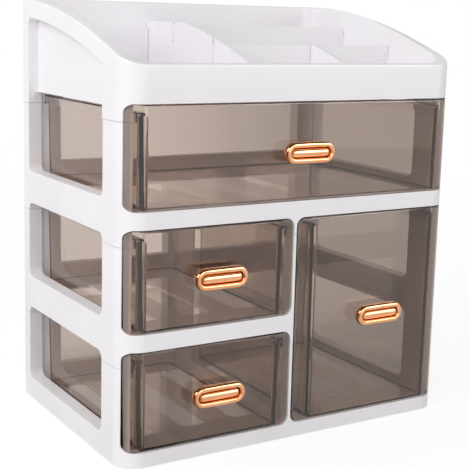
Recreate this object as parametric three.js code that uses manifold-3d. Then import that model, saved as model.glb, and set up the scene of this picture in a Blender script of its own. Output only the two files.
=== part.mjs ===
// Cosmetics organiser: three stacking tiers, an open top tray and four smoky drawers
// Millimetres, +Z up. The front faces -Y and X runs to the right as seen from the front.
// Pieces are drawn from the front left corner of the footprint, and the whole is then
// moved so that its origin is on the table, in the middle of the ground it covers.
import * as THREE from "three";
import { mergeVertices } from "three/addons/utils/BufferGeometryUtils.js";
import Module from "manifold-3d";

const wasm = await Module();
wasm.setup();

// Overall sizes
const width = 290;
const depth = 190;
const frontRadius = 18;
const rearRadius = 4;

// Heights of the tiers
const footProud = 0.8;
const baseHeight = 11.5;
const openingHeight = 73.8;
const railHeight = 12.4;
const legDrop = 12.8;

// Side walls and their windows
const wall = 10.6;
const frontPostDepth = 35;
const rearPostDepth = 14.6;
const sillHeight = 6.7;
const headDrop = 6.4;
const windowRadius = 6;
const skin = 2.4;

// Shelves, rails and rear posts
const shelfThickness = 2.4;
const railDepth = 12;
const rearLegWidth = 30;
const rearLegDepth = 12;
const upstandHeight = 13;
const upstandDepth = 8;
const slotsPerBay = 3;
const slotWidth = 22;
const slotEndMargin = 18;
const slotRadius = 5;

// Centre divider between the small drawers and the tall one
const leftBayWidth = 128.7;
const dividerThickness = 2.2;
const dividerFrontDepth = 20;
const dividerRearDepth = 39;
const centrePostWidth = 26;

// Tenon joints between the tiers
const tenonWidth = 5;
const tenonLength = 9;
const tenonHeight = 7;
const tenonClearance = 0.3;
const tenonInset = 4.5;

// Front openings and plates
const openingRadius = 7;
const plateRecess = 9;
const plateGap = 0.7;
const plateThickness = 4.5;
const plateBevel = 1.8;
const plateEndGap = 0.5;
const restGap = 0.3;

// Drawer boxes
const boxSideGap = 0.5;
const smallBoxInnerGap = 5.2;
const tallBoxInnerGap = 13;
const boxRearGap = 1;
const boxWall = 3;
const boxFloor = 2;
const boxDraft = 1;
const boxTopDrop = 6;
const boxRadius = 7;
const boxFillet = 2;
const boxRun = 16;
const lipOverhang = 2.6;
const lipThickness = 1.2;
const lipHeight = 7;
const lipRound = 0.7;
const beadInset = 0.8;
const beadWidth = 6.9;
const beadDepth = 3;
const beadRound = 2;
const beadDrop = 2.4;

// Handles and their screws
const handleLength = 43.4;
const handleHeight = 16.4;
const handleProud = 11;
const capDepth = 5.6;
const stemLength = 26;
const stemHeight = 8.6;
const screwSpacing = 15;
const shankRadius = 1.4;
const screwHoleClearance = 0.35;
const screwHeadRadius = 3;
const screwHeadHeight = 2;
const screwBite = 4.4;
const screwTipClearance = 0.6;

// Top tray
const frontBandHeight = 26.8;
const rimRise = 42.5;
const rimCurvePower = 1.8;
const trayFloor = 2.4;
const trayFillet = 4;
const trayInnerRadius = 14;
const traySideRim = 9.6;
const traySideFoot = 12.5;
const trayFrontRim = 7;
const trayFrontFoot = 9.5;
const trayRearRim = 4.5;
const trayRearFoot = 7;
const rimRound = 2.6;
const recessDepth = 8;
const recessRimDrop = 14.2;
const recessSkirt = 4.2;
const pocketTopDrop = 7;
const pocketDepth = 3.4;
const jambStep = 1.3;
const gripRibs = 3;
const gripRibPitch = 1.8;
const gripRibRise = 4.2;
const gripRibHeight = 0.8;
const gripRibProud = 0.5;
const gripRibSetback = 3.8;

// Tray dividers
const leafThickness = 2.4;
const leafGap = 0.4;
const leftCellWidth = 96.3;
const middleCellWidth = 87.6;
const frontCellDepth = 62.3;
const middleCellDepth = 61.6;
const longLeafDrop = 8.4;
const longLeafCapDrop = 15.6;
const rowLeafDrop = 13.2;
const shortLeafDrop = 11.6;
const lapSlotDepth = 14;
const lapClearance = 0.3;
const guideRibWidth = 1.4;
const guideRibProud = 1.6;
const guideRibTopDrop = 6;

// Feet
const footRadius = 7;
const footRecess = 1.5;
const footInset = 22;
const footBossWall = 2.4;

// Counts and the overrun shared by all cuts
const cornerSteps = 8;
const boxCornerSteps = 4;
const windowSteps = 4;
const smallSteps = 2;
const bevelSteps = 3;
const sideSteps = 12;
const stadiumSteps = 8;
const screwSides = 10;
const footSides = 16;
const overrun = 1;
const mergeTolerance = 1e-5;

// Materials
function plastic(color, roughness, opacity) {
  const clear = opacity < 1;
  return new THREE.MeshStandardMaterial({ color, roughness, metalness: 0, opacity, transparent: clear });
}
const whitePlastic = plastic(0xf0ecf0, 0.3, 1);
const smokyPlastic = plastic(0x8a7468, 0.12, 0.6);
const rubber = plastic(0xd8d8d8, 0.9, 1);
const roseGold = new THREE.MeshStandardMaterial({ color: 0xe8a57c, roughness: 0.15, metalness: 1 });
const steel = new THREE.MeshStandardMaterial({ color: 0xb8b8ba, roughness: 0.35, metalness: 1 });

// Levels: the shelf tops, the rail undersides above each opening and the seams
const pitch = openingHeight + railHeight;
const levels = [0, 1, 2].map((tier) => baseHeight + tier * pitch);
const bandBottom = levels[2] + openingHeight;
const frontRim = bandBottom + frontBandHeight;
const backRim = frontRim + rimRise;
const seams = levels.map((level) => level + openingHeight - legDrop);

// Bays across the width, between the inner faces of the walls
const dividerLeft = wall + leftBayWidth;
const dividerRight = dividerLeft + dividerThickness;
const dividerMiddle = dividerLeft + dividerThickness / 2;
const leftBay = [wall, dividerLeft];
const rightBay = [dividerRight, width - wall];
const fullBay = [wall, width - wall];

// The four drawers: the shelf each stands on, its bay, the ends where its plate curves
// back round the corner of the footprint, and the gaps beside its box
const drawers = [
  {
    name: "top_drawer",
    level: levels[2],
    height: openingHeight,
    bay: fullBay,
    wraps: [true, true],
    gaps: [boxSideGap, boxSideGap],
  },
  {
    name: "middle_drawer",
    level: levels[1],
    height: openingHeight,
    bay: leftBay,
    wraps: [true, false],
    gaps: [boxSideGap, smallBoxInnerGap],
  },
  {
    name: "lower_drawer",
    level: levels[0],
    height: openingHeight,
    bay: leftBay,
    wraps: [true, false],
    gaps: [boxSideGap, smallBoxInnerGap],
  },
  {
    name: "tall_drawer",
    level: levels[0],
    height: pitch + openingHeight,
    bay: rightBay,
    wraps: [false, true],
    gaps: [tallBoxInnerGap, boxSideGap],
  },
];

// Solids and boolean helpers
function solidOf(geometry) {
  const bare = geometry.index ? geometry.toNonIndexed() : geometry.clone();
  bare.deleteAttribute("normal");
  bare.deleteAttribute("uv");
  const merged = mergeVertices(bare, mergeTolerance);
  const vertProperties = new Float32Array(merged.attributes.position.array);
  const triVerts = new Uint32Array(merged.index.array);
  return new wasm.Manifold(new wasm.Mesh({ numProp: 3, vertProperties, triVerts }));
}

function geometryOf(solid) {
  const mesh = solid.getMesh();
  const geometry = new THREE.BufferGeometry();
  geometry.setAttribute("position", new THREE.BufferAttribute(mesh.vertProperties, 3));
  geometry.setIndex(new THREE.BufferAttribute(mesh.triVerts, 1));
  geometry.computeVertexNormals();
  return geometry;
}

function joined(solids) {
  return solids.reduce((whole, solid) => whole.add(solid));
}

function cut(solid, cutters) {
  return cutters.reduce((whole, cutter) => whole.subtract(cutter), solid);
}

// Prisms: a box, and an outline extruded along Z, along X or along Y
function block(x0, x1, y0, y1, z0, z1) {
  const geometry = new THREE.BoxGeometry(x1 - x0, y1 - y0, z1 - z0);
  geometry.translate((x0 + x1) / 2, (y0 + y1) / 2, (z0 + z1) / 2);
  return solidOf(geometry);
}

function extruded(shape, length, steps) {
  return new THREE.ExtrudeGeometry(shape, { depth: length, bevelEnabled: false, curveSegments: steps });
}

function uprightPrism(shape, z0, z1, steps) {
  const geometry = extruded(shape, z1 - z0, steps);
  geometry.translate(0, 0, z0);
  return solidOf(geometry);
}

const sideBasis = new THREE.Matrix4().makeBasis(
  new THREE.Vector3(0, 1, 0),
  new THREE.Vector3(0, 0, 1),
  new THREE.Vector3(1, 0, 0),
);
const frontBasis = new THREE.Matrix4().makeBasis(
  new THREE.Vector3(1, 0, 0),
  new THREE.Vector3(0, 0, 1),
  new THREE.Vector3(0, -1, 0),
);

function sidePrism(shape, x0, x1, steps) {
  const geometry = extruded(shape, x1 - x0, steps);
  geometry.applyMatrix4(sideBasis);
  geometry.translate(x0, 0, 0);
  return solidOf(geometry);
}

function frontPrism(shape, y0, y1, steps) {
  const geometry = extruded(shape, y1 - y0, steps);
  geometry.applyMatrix4(frontBasis);
  geometry.translate(0, y1, 0);
  return solidOf(geometry);
}

// Outlines
function roundedOutline(u0, u1, v0, v1, lowRadius, highRadius) {
  const shape = new THREE.Shape();
  shape.moveTo(u0 + lowRadius, v0);
  shape.lineTo(u1 - lowRadius, v0);
  shape.absarc(u1 - lowRadius, v0 + lowRadius, lowRadius, -Math.PI / 2, 0);
  shape.lineTo(u1, v1 - highRadius);
  shape.absarc(u1 - highRadius, v1 - highRadius, highRadius, 0, Math.PI / 2);
  shape.lineTo(u0 + highRadius, v1);
  shape.absarc(u0 + highRadius, v1 - highRadius, highRadius, Math.PI / 2, Math.PI);
  shape.lineTo(u0, v0 + lowRadius);
  shape.absarc(u0 + lowRadius, v0 + lowRadius, lowRadius, Math.PI, Math.PI * 1.5);
  return shape;
}

function polygon(points) {
  return new THREE.Shape(points.map(([u, v]) => new THREE.Vector2(u, v)));
}

function footprint(z0, z1) {
  const shape = roundedOutline(0, width, 0, depth, frontRadius, rearRadius);
  return uprightPrism(shape, z0, z1, cornerSteps);
}

// The rim of the tray climbs from the front band to the back in one sweep
function rimHeightAt(y) {
  return frontRim + rimRise * (1 - (1 - y / depth) ** rimCurvePower);
}

// A ring of points around a rounded rectangle, with steps in its corners and its two sides
function ring(bounds, [frontR, rearR], [turns, steps], heightAt) {
  const [x0, x1, y0, y1] = bounds;
  const points = [];
  const arc = (cx, cy, radius, from) => {
    for (let step = 0; step <= turns; step += 1) {
      const angle = from + (step / turns) * (Math.PI / 2);
      points.push([cx + radius * Math.cos(angle), cy + radius * Math.sin(angle)]);
    }
  };
  const side = (x, from, to) => {
    for (let step = 1; step < steps; step += 1) {
      points.push([x, from + (step / steps) * (to - from)]);
    }
  };
  arc(x1 - frontR, y0 + frontR, frontR, -Math.PI / 2);
  side(x1, y0 + frontR, y1 - rearR);
  arc(x1 - rearR, y1 - rearR, rearR, 0);
  arc(x0 + rearR, y1 - rearR, rearR, Math.PI / 2);
  side(x0, y1 - rearR, y0 + frontR);
  arc(x0 + frontR, y0 + frontR, frontR, Math.PI);
  return points.map(([x, y], index) => new THREE.Vector3(x, y, heightAt(index)));
}

// A closed skin over rings of equal count, with a flat cap on the first and the last
function loft(rings) {
  const count = rings[0].length;
  const centres = [rings[0], rings[rings.length - 1]].map((points) => {
    const sum = points.reduce((total, point) => total.add(point), new THREE.Vector3());
    return sum.divideScalar(count);
  });
  const vertices = [...rings.flat(), ...centres];
  const faces = [];
  const last = (rings.length - 1) * count;
  for (let i = 0; i < count; i += 1) {
    const j = (i + 1) % count;
    for (let base = 0; base < last; base += count) {
      faces.push(base + i, base + j, base + count + j, base + i, base + count + j, base + count + i);
    }
    faces.push(rings.length * count, j, i);
    faces.push(rings.length * count + 1, last + i, last + j);
  }
  const geometry = new THREE.BufferGeometry().setFromPoints(vertices);
  geometry.setIndex(faces);
  return geometry;
}

function inset(bounds, front, rear, sides) {
  return [bounds[0] + sides, bounds[1] - sides, bounds[2] + front, bounds[3] - rear];
}

// A side wall's outline between two seams, notched for the window above and the one below
function wallOutline(z0, z1, y0, y1, notchBelow, notchAbove) {
  const r = windowRadius;
  const shape = new THREE.Shape();
  shape.moveTo(0, z0);
  if (notchBelow) {
    shape.lineTo(y0, z0);
    shape.lineTo(y0, notchBelow - r);
    shape.absarc(y0 + r, notchBelow - r, r, Math.PI, Math.PI / 2, true);
    shape.lineTo(y1 - r, notchBelow);
    shape.absarc(y1 - r, notchBelow - r, r, Math.PI / 2, 0, true);
    shape.lineTo(y1, z0);
  }
  shape.lineTo(depth, z0);
  shape.lineTo(depth, z1);
  if (notchAbove) {
    shape.lineTo(y1, z1);
    shape.lineTo(y1, notchAbove + r);
    shape.absarc(y1 - r, notchAbove + r, r, 0, -Math.PI / 2, true);
    shape.lineTo(y0 + r, notchAbove);
    shape.absarc(y0 + r, notchAbove + r, r, -Math.PI / 2, -Math.PI, true);
    shape.lineTo(y0, z1);
  }
  shape.lineTo(0, z1);
  return shape;
}

function sideWalls(tier) {
  const rear = depth - rearPostDepth;
  const shape = wallOutline(tier.z0, tier.z1, frontPostDepth, rear, tier.head, tier.sill);
  return [
    sidePrism(shape, 0, wall, windowSteps),
    sidePrism(shape, width - wall, width, windowSteps),
  ];
}

// A pocket on the inner face of each side wall, under the shelf
function wallPockets(tier) {
  const y0 = frontPostDepth + skin;
  const y1 = depth - rearPostDepth - skin;
  const z0 = (tier.head || tier.z0) + skin;
  const z1 = tier.level - shelfThickness;
  return [
    block(skin, wall + overrun, y0, y1, z0, z1),
    block(width - wall - overrun, width - skin, y0, y1, z0, z1),
  ];
}

// The shelf with its rails, over one bay or the full width
function shelf(tier, x0, x1) {
  const rearFace = depth - rearLegDepth;
  return [
    block(x0, x1, 0, depth - skin, tier.level - shelfThickness, tier.level),
    block(x0, x1, 0, railDepth, tier.railBottom, tier.level),
    block(x0, x1, rearFace, depth, tier.railBottom, tier.level),
  ];
}

function rearUpstand(tier, x0, x1) {
  const y0 = depth - rearLegDepth;
  return block(x0, x1, y0, y0 + upstandDepth, tier.level - shelfThickness, tier.level + upstandHeight);
}

function railPockets(tier, x0, x1) {
  const z0 = tier.railBottom - overrun;
  const z1 = tier.level - shelfThickness;
  const rearFace = depth - rearLegDepth;
  return [
    block(x0, x1, skin, railDepth - skin, z0, z1),
    block(x0, x1, rearFace + skin, depth - skin, z0, z1),
  ];
}

function shelfSlots(tier, [x0, x1]) {
  const y0 = railDepth + slotEndMargin;
  const y1 = depth - rearLegDepth - slotEndMargin;
  const share = (x1 - x0) / slotsPerBay;
  const slots = [];
  for (let slot = 0; slot < slotsPerBay; slot += 1) {
    const middle = x0 + share * (slot + 0.5);
    const u0 = middle - slotWidth / 2;
    const shape = roundedOutline(u0, u0 + slotWidth, y0, y1, slotRadius, slotRadius);
    const z0 = tier.level - shelfThickness - overrun;
    slots.push(uprightPrism(shape, z0, tier.level + overrun, smallSteps));
  }
  return slots;
}

function rearLegs(z0, z1) {
  const y0 = depth - rearLegDepth;
  return [
    block(0, rearLegWidth, y0, depth, z0, z1),
    block(width - rearLegWidth, width, y0, depth, z0, z1),
  ];
}

// The divider's web has a window like the side walls, and a post behind it
function dividerWall(z0, z1, head, sill) {
  const shape = wallOutline(z0, z1, dividerFrontDepth, depth - dividerRearDepth, head, sill);
  const x0 = dividerMiddle - centrePostWidth / 2;
  return [
    sidePrism(shape, dividerLeft, dividerRight, windowSteps),
    block(x0, x0 + centrePostWidth, depth - rearLegDepth, depth, z0, z1),
  ];
}

// White corners that follow the rounded corners of the plates beside the divider
function dividerCorners(z0, z1) {
  const reach = openingRadius + dividerThickness / 2;
  return block(dividerMiddle - reach, dividerMiddle + reach, 0, plateRecess, z0, z1);
}

// How far the rounded corner of the footprint has come in from the side at a depth y
function cornerInsetAt(y) {
  return frontRadius - Math.sqrt(frontRadius ** 2 - (frontRadius - y) ** 2);
}

function openingSpan(drawer) {
  const reach = cornerInsetAt(plateRecess) - restGap;
  const [wrapsLeft, wrapsRight] = drawer.wraps;
  return [wrapsLeft ? reach : drawer.bay[0], wrapsRight ? width - reach : drawer.bay[1]];
}

// Front openings, cut with round corners as deep as the plates reach
function frontOpening(drawer) {
  const [x0, x1] = openingSpan(drawer);
  const { level, height } = drawer;
  const shape = roundedOutline(x0, x1, level, level + height, openingRadius, openingRadius);
  return frontPrism(shape, -overrun, plateRecess, windowSteps);
}

// Tenons under each leg and the sockets that take them
const frontTenonY = frontPostDepth - tenonInset - tenonLength / 2;
const rearTenonY = depth - rearPostDepth / 2;
const postPlaces = [
  [wall / 2, frontTenonY],
  [width - wall / 2, frontTenonY],
  [wall / 2, rearTenonY],
  [width - wall / 2, rearTenonY],
];

function postBlock([x, y], grow, z0, z1) {
  const halfX = tenonWidth / 2 + grow;
  const halfY = tenonLength / 2 + grow;
  return block(x - halfX, x + halfX, y - halfY, y + halfY, z0, z1);
}

function tenons(seam) {
  return postPlaces.map((place) => postBlock(place, 0, seam - tenonHeight, seam + overrun));
}

function sockets(seam) {
  const bottom = seam - tenonHeight - tenonClearance;
  return postPlaces.map((place) => postBlock(place, tenonClearance, bottom, seam + overrun));
}

// The seam itself is a thin line between two mouldings
function tierAt(index) {
  const level = levels[index];
  const lowest = index === 0;
  return {
    level,
    z0: lowest ? footProud : seams[index - 1] + restGap,
    z1: seams[index],
    railBottom: lowest ? footProud : level - railHeight,
    head: lowest ? 0 : level - railHeight - headDrop,
    sill: level + sillHeight,
  };
}

// Foot bosses under the base, each with a recess for a pad
const footPlaces = [
  [footInset, footInset],
  [width - footInset, footInset],
  [footInset, depth - footInset],
  [width - footInset, depth - footInset],
];

function disc(radius, z0, z1) {
  const geometry = new THREE.CylinderGeometry(radius, radius, z1 - z0, footSides);
  geometry.rotateX(Math.PI / 2);
  geometry.translate(0, 0, (z0 + z1) / 2);
  return geometry;
}

function discsAtFeet(radius, z0, z1) {
  return footPlaces.map(([x, y]) => solidOf(disc(radius, z0, z1).translate(x, y, 0)));
}

function footBosses() {
  const top = baseHeight - shelfThickness / 2;
  return discsAtFeet(footRadius + restGap + footBossWall, footProud, top);
}

function footSockets() {
  const top = footProud + footRecess + restGap;
  return discsAtFeet(footRadius + restGap, footProud - overrun, top);
}

// Tier mouldings
function baseTier() {
  const tier = tierAt(0);
  const rails = shelf(tier, wall - overrun, width - wall + overrun);
  const divider = dividerWall(tier.level - shelfThickness, tier.z1, 0, tier.sill);
  const bosses = footBosses();
  const corners = dividerCorners(tier.level - shelfThickness, tier.level + openingRadius);
  const legs = rearLegs(tier.z0, tier.z1);
  const upstand = rearUpstand(tier, wall - overrun, width - wall + overrun);
  const openShelf = cut(joined(rails), [
    ...railPockets(tier, frontRadius, width - frontRadius),
    ...shelfSlots(tier, leftBay),
    ...shelfSlots(tier, rightBay),
  ]);
  const carved = cut(joined(sideWalls(tier)), wallPockets(tier));
  const whole = joined([carved, openShelf, ...divider, ...bosses, corners, ...legs, upstand]);
  const shaped = whole.intersect(footprint(tier.z0, tier.z1));
  return cut(shaped, [...drawers.map(frontOpening), ...sockets(tier.z1), ...footSockets()]);
}

function middleTier() {
  const tier = tierAt(1);
  const rails = shelf(tier, wall - overrun, dividerRight);
  const divider = dividerWall(tier.z0, tier.z1, tier.head, tier.sill);
  const corners = dividerCorners(tier.railBottom - openingRadius, tier.level + openingRadius);
  const legs = rearLegs(tier.z0, tier.z1);
  const upstand = rearUpstand(tier, wall - overrun, width - wall + overrun);
  const rearRail = block(wall, width - wall, depth - rearLegDepth, depth, tier.railBottom, tier.level);
  const openShelf = cut(joined([...rails, rearRail]), [
    ...railPockets(tier, frontRadius, dividerLeft - skin),
    ...railPockets(tier, dividerRight + skin, width - frontRadius),
    ...shelfSlots(tier, leftBay),
  ]);
  const carved = cut(joined(sideWalls(tier)), wallPockets(tier));
  const whole = joined([carved, openShelf, ...divider, corners, ...legs, upstand]);
  const shaped = whole.intersect(footprint(tier.z0, tier.z1));
  const open = cut(shaped, [...drawers.map(frontOpening), ...sockets(tier.z1)]);
  return joined([open, ...tenons(tier.z0)]);
}

function upperTier() {
  const tier = tierAt(2);
  const rails = shelf(tier, wall - overrun, width - wall + overrun);
  const divider = dividerWall(tier.z0, tier.level - shelfThickness, tier.head, 0);
  const corners = dividerCorners(tier.railBottom - openingRadius, tier.railBottom + overrun);
  const legs = rearLegs(tier.z0, tier.z1);
  const upstand = rearUpstand(tier, wall - overrun, width - wall + overrun);
  const openShelf = cut(joined(rails), [
    ...railPockets(tier, frontRadius, width - frontRadius),
    ...shelfSlots(tier, leftBay),
    ...shelfSlots(tier, rightBay),
  ]);
  const carved = cut(joined(sideWalls(tier)), wallPockets(tier));
  const whole = joined([carved, openShelf, ...divider, corners, ...legs, upstand]);
  const shaped = whole.intersect(footprint(tier.z0, tier.z1));
  const open = cut(shaped, [...drawers.map(frontOpening), ...sockets(tier.z1)]);
  return joined([open, ...tenons(tier.z0)]);
}

// Top tray: a tub with a thick round rim, standing on four legs
const trayBounds = [0, width, 0, depth];
const trayFloorTop = bandBottom + trayFloor;
const rimSoft = rimRound * (1 - Math.SQRT1_2);

function trayRing(front, rear, sides, radiusFront, radiusRear, heightAt) {
  const bounds = inset(trayBounds, front, rear, sides);
  return ring(bounds, [radiusFront, radiusRear], [cornerSteps, sideSteps], heightAt);
}

// One ring of the tub's inner skin, set in further by the fillet towards the floor
function innerRing(turn, height) {
  const radius = trayInnerRadius - turn;
  const [front, rear, sides] = [trayFrontFoot + turn, trayRearFoot + turn, traySideFoot + turn];
  return trayRing(front, rear, sides, radius, radius, () => height);
}

function trayTub() {
  const outer = trayRing(0, 0, 0, frontRadius, rearRadius, () => 0);
  const rim = outer.map((point) => rimHeightAt(point.y));
  const inner = trayInnerRadius;
  const outerRing = (turn, heightAt) =>
    trayRing(turn, turn, turn, frontRadius - turn, rearRadius - turn, heightAt);
  const rimRing = (turn, heightAt) =>
    trayRing(trayFrontRim - turn, trayRearRim - turn, traySideRim - turn, inner, inner, heightAt);
  const soft = trayFillet / 4;
  return loft([
    outerRing(0, () => bandBottom),
    outerRing(0, (i) => rim[i] - rimRound),
    outerRing(rimSoft, (i) => rim[i] - rimSoft),
    outerRing(rimRound, (i) => rim[i]),
    rimRing(rimSoft, (i) => rim[i]),
    rimRing(0, (i) => rim[i] - rimSoft),
    innerRing(0, trayFloorTop + trayFillet),
    innerRing(soft, trayFloorTop + soft),
    innerRing(trayFillet, trayFloorTop),
  ]);
}

// How far the tub's inner face stands in from the outside at a height, where its rim is high
function innerFaceAt(z, rimHeight, foot, rim) {
  const footTop = trayFloorTop + trayFillet;
  const share = Math.max(0, (z - footTop) / (rimHeight - rimSoft - footTop));
  return foot + (rim - foot) * share;
}

// The recess in the tray's side follows the rim, with a round corner at its rear top
function recessOutline() {
  const y0 = frontPostDepth + jambStep;
  const y1 = depth - rearPostDepth;
  const points = [[y1, bandBottom - legDrop - overrun]];
  const round = windowRadius;
  const topAt = (y) => rimHeightAt(y) - recessRimDrop;
  for (let step = 0; step <= windowSteps; step += 1) {
    const angle = (step / windowSteps) * (Math.PI / 2);
    const y = y1 - round + round * Math.cos(angle);
    points.push([y, topAt(y1 - round) - round + round * Math.sin(angle)]);
  }
  for (let step = 1; step <= sideSteps; step += 1) {
    const y = y1 - round - (step / sideSteps) * (y1 - round - y0);
    points.push([y, topAt(y)]);
  }
  points.push([y0, bandBottom - legDrop - overrun]);
  return polygon(points);
}

function trayLegs(z0) {
  const y0 = frontPostDepth + jambStep;
  const y1 = depth - rearPostDepth;
  const z1 = bandBottom + overrun;
  const strips = [
    block(0, wall, 0, y0, z0, z1),
    block(width - wall, width, 0, y0, z0, z1),
    block(0, wall, y1, depth, z0, z1),
    block(width - wall, width, y1, depth, z0, z1),
  ];
  return [...strips, ...rearLegs(z0, z1)];
}

// The tub's side wall hangs down a little below its floor, over the drawer
function traySkirts() {
  const y0 = frontPostDepth - overrun;
  const y1 = depth - rearPostDepth + overrun;
  const z0 = bandBottom - recessSkirt;
  return [
    block(recessDepth, wall, y0, y1, z0, bandBottom + overrun),
    block(width - wall, width - recessDepth, y0, y1, z0, bandBottom + overrun),
  ];
}

// Small grip ribs low on the rear legs, where the tray snaps on
function legRibs(z0) {
  const y1 = depth - rearPostDepth;
  const ribs = [];
  for (let rib = 0; rib < gripRibs; rib += 1) {
    const bottom = z0 + gripRibRise + gripRibPitch * rib;
    const top = bottom + gripRibHeight;
    const right = width - gripRibSetback;
    ribs.push(block(gripRibSetback, recessDepth, y1 - gripRibProud, y1 + overrun, bottom, top));
    ribs.push(block(width - recessDepth, right, y1 - gripRibProud, y1 + overrun, bottom, top));
  }
  return ribs;
}

// Middle planes of the dividers, from the cells they close off, and the tops they reach
const longLeafX = traySideFoot + leftCellWidth + leafThickness / 2;
const shortLeafX = longLeafX + middleCellWidth + leafThickness;
const frontLeafY = trayFrontFoot + frontCellDepth + leafThickness / 2;
const backLeafY = frontLeafY + middleCellDepth + leafThickness;
const longLeafCap = backRim - longLeafCapDrop;

function rowTop(y) {
  return rimHeightAt(y) - rowLeafDrop;
}

// Guide ribs stand in pairs on either side of a divider's end
function guidePair(x, y, alongX, reach, top) {
  const half = leafThickness / 2 + lapClearance;
  const outer = half + guideRibWidth;
  const z0 = trayFloorTop - overrun;
  if (alongX) {
    return [
      block(x, x + reach, y - outer, y - half, z0, top),
      block(x, x + reach, y + half, y + outer, z0, top),
    ];
  }
  return [
    block(x - outer, x - half, y, y + reach, z0, top),
    block(x + half, x + outer, y, y + reach, z0, top),
  ];
}

function trayGuides() {
  const sideReach = traySideFoot + guideRibProud - traySideRim + rimRound;
  const sideX = width - traySideFoot - guideRibProud;
  const frontReach = trayFrontFoot + guideRibProud - trayFrontRim + rimRound;
  const frontY = trayFrontRim - rimRound;
  const rearReach = trayRearFoot + guideRibProud - trayRearRim + rimRound;
  const rearY = depth - trayRearFoot - guideRibProud;
  const frontTop = frontRim - guideRibTopDrop;
  return [
    ...guidePair(sideX, backLeafY, true, sideReach, rowTop(backLeafY) - guideRibTopDrop),
    ...guidePair(sideX, frontLeafY, true, sideReach, rowTop(frontLeafY) - guideRibTopDrop),
    ...guidePair(longLeafX, frontY, false, frontReach, frontTop),
    ...guidePair(shortLeafX, frontY, false, frontReach, frontTop),
    ...guidePair(longLeafX, rearY, false, rearReach, longLeafCap - guideRibTopDrop),
  ];
}

// A pocket from below lightens the thick front wall
function frontPocket() {
  const x1 = width - frontRadius;
  const top = frontRim - pocketTopDrop;
  return block(frontRadius, x1, skin, skin + pocketDepth, bandBottom - overrun, top);
}

function topTray() {
  const seam = seams[2] + restGap;
  const tub = joined([solidOf(trayTub()), ...trayGuides()]);
  const plan = footprint(seam, bandBottom + overrun);
  const legs = joined([...trayLegs(seam), ...traySkirts()]).intersect(plan);
  const recess = recessOutline();
  const cuts = [
    sidePrism(recess, -overrun, recessDepth, windowSteps),
    sidePrism(recess, width - recessDepth, width + overrun, windowSteps),
    frontPocket(),
    frontOpening(drawers[0]),
  ];
  const open = cut(joined([tub, legs]), cuts);
  return joined([open, ...tenons(seam), ...legRibs(seam)]);
}

// Tray dividers: leaves that stand on the floor and lap into each other
const leafBottom = trayFloorTop + restGap;
const lapHalf = leafThickness / 2 + lapClearance;

function frontEndAt(z) {
  return innerFaceAt(z, frontRim, trayFrontFoot, trayFrontRim) + leafGap;
}

function rearEndAt(z) {
  return depth - innerFaceAt(z, backRim, trayRearFoot, trayRearRim) - leafGap;
}

// The outline of a leaf that runs front to back, with its ends along the tray's sloping
// walls, or with a tab at its rear end
function leafOutline(startAt, endAt, topAt, tab) {
  const steps = sideSteps * 2;
  const start = startAt(topAt(startAt(leafBottom)));
  const end = endAt(topAt(endAt(leafBottom)));
  const points = [[startAt(leafBottom), leafBottom], [endAt(leafBottom), leafBottom], ...tab];
  for (let step = 0; step <= steps; step += 1) {
    const along = end - (step / steps) * (end - start);
    points.push([along, topAt(along)]);
  }
  return polygon(points);
}

// The feet of the leaves are cut back so that they clear the fillet of the floor
function filletRelief(x0, x1, y0, y1) {
  return block(x0, x1, y0, y1, leafBottom - overrun, leafBottom + trayFillet);
}

function longLeaf() {
  const topAt = (y) => Math.min(rimHeightAt(y) - longLeafDrop, longLeafCap);
  const x0 = longLeafX - leafThickness / 2;
  const x1 = x0 + leafThickness;
  const leaf = sidePrism(leafOutline(frontEndAt, rearEndAt, topAt, []), x0, x1, 1);
  const [left, right] = [x0 - overrun, x1 + overrun];
  const slot = (y) => block(left, right, y - lapHalf, y + lapHalf, rowTop(y) - lapSlotDepth, backRim);
  return cut(leaf, [
    slot(backLeafY),
    slot(frontLeafY),
    filletRelief(left, right, 0, trayFrontFoot + trayFillet),
    filletRelief(left, right, depth - trayRearFoot - trayFillet, depth),
  ]);
}

// A row runs from the long divider to the right side, with a tab in the long one's slot
function rowLeaf(y) {
  const top = rowTop(y);
  const left = longLeafX + leafThickness / 2 + leafGap;
  const right = (z) => width - innerFaceAt(z, rimHeightAt(y), traySideFoot, traySideRim) - leafGap;
  const tabStart = longLeafX - leafThickness / 2;
  const tabBottom = top - lapSlotDepth + lapClearance;
  const outline = polygon([
    [left, leafBottom],
    [right(leafBottom), leafBottom],
    [right(top), top],
    [tabStart, top],
    [tabStart, tabBottom],
    [left, tabBottom],
  ]);
  const y0 = y - leafThickness / 2;
  const y1 = y0 + leafThickness;
  const relief = filletRelief(width - traySideFoot - trayFillet, width, y0 - overrun, y1 + overrun);
  return cut(frontPrism(outline, y0, y1, 1), [relief]);
}

function frontRow() {
  const y = frontLeafY;
  const reach = leafThickness / 2 + overrun;
  const [x0, x1] = [shortLeafX - lapHalf, shortLeafX + lapHalf];
  const slot = block(x0, x1, y - reach, y + reach, rowTop(y) - lapSlotDepth, rowTop(y) + overrun);
  return cut(rowLeaf(y), [slot]);
}

function shortLeaf() {
  const top = rowTop(frontLeafY);
  const rearEnd = frontLeafY - leafThickness / 2 - leafGap;
  const topAt = (y) => Math.min(rimHeightAt(y) - shortLeafDrop, top);
  const tabEnd = frontLeafY + leafThickness / 2;
  const tabBottom = top - lapSlotDepth + lapClearance;
  const tab = [[rearEnd, tabBottom], [tabEnd, tabBottom], [tabEnd, topAt(rearEnd)]];
  const x0 = shortLeafX - leafThickness / 2;
  const x1 = x0 + leafThickness;
  const leaf = sidePrism(leafOutline(frontEndAt, () => rearEnd, topAt, tab), x0, x1, 1);
  return cut(leaf, [filletRelief(x0 - overrun, x1 + overrun, 0, trayFrontFoot + trayFillet)]);
}

// Drawers, each in a group of its own that stands on its shelf
const boxFrontY = plateThickness + restGap;
const boxRearY = depth - rearLegDepth - boxRearGap;

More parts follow.
